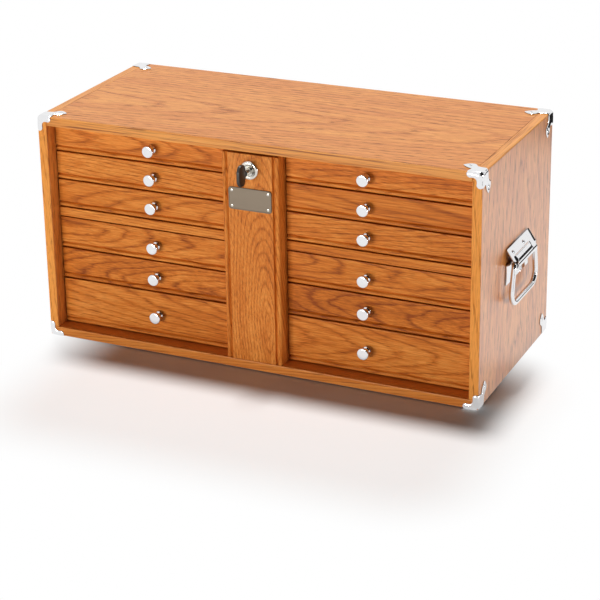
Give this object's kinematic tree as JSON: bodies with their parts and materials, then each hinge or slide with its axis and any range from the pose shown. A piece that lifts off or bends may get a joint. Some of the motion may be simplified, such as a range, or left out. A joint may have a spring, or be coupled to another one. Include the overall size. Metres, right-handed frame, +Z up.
{
  "type": "wooden tool chest",
  "caption": "Low lacquered oak tool chest with two columns of shallow drawers either side of a lock panel, chromed corner brackets, round knobs and drop bail handles at the ends.",
  "frame": {"origin": "under the middle of the whole object's box at rest, on the floor plane that the four lower corner brackets stand on", "axes": "+X to the right along the case, +Y from the drawer fronts to the back, +Z up"},
  "size_m": [0.632, 0.3012, 0.3062],
  "materials": {
    "oak_top": "lacquered oak, satin gloss",
    "oak_side": "lacquered oak, satin gloss",
    "oak_drawer_front": "lacquered oak, satin gloss",
    "oak_lock_panel": "lacquered oak, satin gloss",
    "oak_case": "lacquered oak, satin gloss",
    "pale_drawer_wood": "bare pale hardwood",
    "nickel_lock": "polished nickel",
    "plate_metal": "grey brushed metal, left bare",
    "black_plastic": "black moulded plastic",
    "chrome": "polished chrome"
  },
  "bodies": {
    "chest": {"bottom_panel": "oak_case", "top_panel": "oak_top", "back_panel": "oak_case", "left_side_panel": "oak_side", "right_side_panel": "oak_side", "mid_shelf": "oak_drawer_front", "centre_divider": "oak_case", "front_lower_left_bracket": "chrome", "front_lower_right_bracket": "chrome", "front_upper_left_bracket": "chrome", "front_upper_right_bracket": "chrome", "back_lower_left_bracket": "chrome", "back_lower_right_bracket": "chrome", "back_upper_left_bracket": "chrome", "back_upper_right_bracket": "chrome", "left_handle_bracket": "chrome", "right_handle_bracket": "chrome"},
    "left_drawer_1": {"left_drawer_1_front": "oak_drawer_front", "left_drawer_1_box": "pale_drawer_wood", "left_drawer_1_knob": "chrome"},
    "left_drawer_2": {"left_drawer_2_front": "oak_drawer_front", "left_drawer_2_box": "pale_drawer_wood", "left_drawer_2_knob": "chrome"},
    "left_drawer_3": {"left_drawer_3_front": "oak_drawer_front", "left_drawer_3_box": "pale_drawer_wood", "left_drawer_3_knob": "chrome"},
    "left_drawer_4": {"left_drawer_4_front": "oak_drawer_front", "left_drawer_4_box": "pale_drawer_wood", "left_drawer_4_knob": "chrome"},
    "left_drawer_5": {"left_drawer_5_front": "oak_drawer_front", "left_drawer_5_box": "pale_drawer_wood", "left_drawer_5_knob": "chrome"},
    "left_drawer_6": {"left_drawer_6_front": "oak_drawer_front", "left_drawer_6_box": "pale_drawer_wood", "left_drawer_6_knob": "chrome"},
    "right_drawer_1": {"right_drawer_1_front": "oak_drawer_front", "right_drawer_1_box": "pale_drawer_wood", "right_drawer_1_knob": "chrome"},
    "right_drawer_2": {"right_drawer_2_front": "oak_drawer_front", "right_drawer_2_box": "pale_drawer_wood", "right_drawer_2_knob": "chrome"},
    "right_drawer_3": {"right_drawer_3_front": "oak_drawer_front", "right_drawer_3_box": "pale_drawer_wood", "right_drawer_3_knob": "chrome"},
    "right_drawer_4": {"right_drawer_4_front": "oak_drawer_front", "right_drawer_4_box": "pale_drawer_wood", "right_drawer_4_knob": "chrome"},
    "right_drawer_5": {"right_drawer_5_front": "oak_drawer_front", "right_drawer_5_box": "pale_drawer_wood", "right_drawer_5_knob": "chrome"},
    "right_drawer_6": {"right_drawer_6_front": "oak_drawer_front", "right_drawer_6_box": "pale_drawer_wood", "right_drawer_6_knob": "chrome"},
    "lock_panel": {"lock_panel": "oak_lock_panel", "name_plate": "plate_metal", "lock_body": "nickel_lock"},
    "lock_plug": {"lock_plug": "nickel_lock"},
    "key": {"key": "black_plastic"},
    "left_bail": {"left_handle_bail": "chrome"},
    "right_bail": {"right_handle_bail": "chrome"}
  },
  "joints": [
    {"name": "left_drawer_1_slide", "type": "slide", "parent": "chest", "child": "left_drawer_1", "axis": [0, -1, 0], "range_m": [0, 0.17]},
    {"name": "left_drawer_2_slide", "type": "slide", "parent": "chest", "child": "left_drawer_2", "axis": [0, -1, 0], "range_m": [0, 0.17]},
    {"name": "left_drawer_3_slide", "type": "slide", "parent": "chest", "child": "left_drawer_3", "axis": [0, -1, 0], "range_m": [0, 0.17]},
    {"name": "left_drawer_4_slide", "type": "slide", "parent": "chest", "child": "left_drawer_4", "axis": [0, -1, 0], "range_m": [0, 0.17]},
    {"name": "left_drawer_5_slide", "type": "slide", "parent": "chest", "child": "left_drawer_5", "axis": [0, -1, 0], "range_m": [0, 0.17]},
    {"name": "left_drawer_6_slide", "type": "slide", "parent": "chest", "child": "left_drawer_6", "axis": [0, -1, 0], "range_m": [0, 0.17]},
    {"name": "right_drawer_1_slide", "type": "slide", "parent": "chest", "child": "right_drawer_1", "axis": [0, -1, 0], "range_m": [0, 0.17]},
    {"name": "right_drawer_2_slide", "type": "slide", "parent": "chest", "child": "right_drawer_2", "axis": [0, -1, 0], "range_m": [0, 0.17]},
    {"name": "right_drawer_3_slide", "type": "slide", "parent": "chest", "child": "right_drawer_3", "axis": [0, -1, 0], "range_m": [0, 0.17]},
    {"name": "right_drawer_4_slide", "type": "slide", "parent": "chest", "child": "right_drawer_4", "axis": [0, -1, 0], "range_m": [0, 0.17]},
    {"name": "right_drawer_5_slide", "type": "slide", "parent": "chest", "child": "right_drawer_5", "axis": [0, -1, 0], "range_m": [0, 0.17]},
    {"name": "right_drawer_6_slide", "type": "slide", "parent": "chest", "child": "right_drawer_6", "axis": [0, -1, 0], "range_m": [0, 0.17]},
    {"name": "lock_panel_pull", "type": "slide", "parent": "chest", "child": "lock_panel", "axis": [0, -1, 0], "range_m": [0, 0.06]},
    {"name": "key_turn", "type": "hinge", "parent": "lock_panel", "child": "lock_plug", "pos_m": [0, -0.118, 0.2701], "axis": [0, 1, 0], "range_deg": [0, 90]},
    {"name": "key_pull", "type": "slide", "parent": "lock_plug", "child": "key", "axis": [0, -1, 0], "range_m": [0, 0.035]},
    {"name": "left_handle_swing", "type": "hinge", "parent": "chest", "child": "left_bail", "pos_m": [-0.3105, 0.0155, 0.1561], "axis": [0, 1, 0], "range_deg": [-6, 90]},
    {"name": "right_handle_swing", "type": "hinge", "parent": "chest", "child": "right_bail", "pos_m": [0.3105, 0.0155, 0.1561], "axis": [0, -1, 0], "range_deg": [-6, 90]}
  ]
}
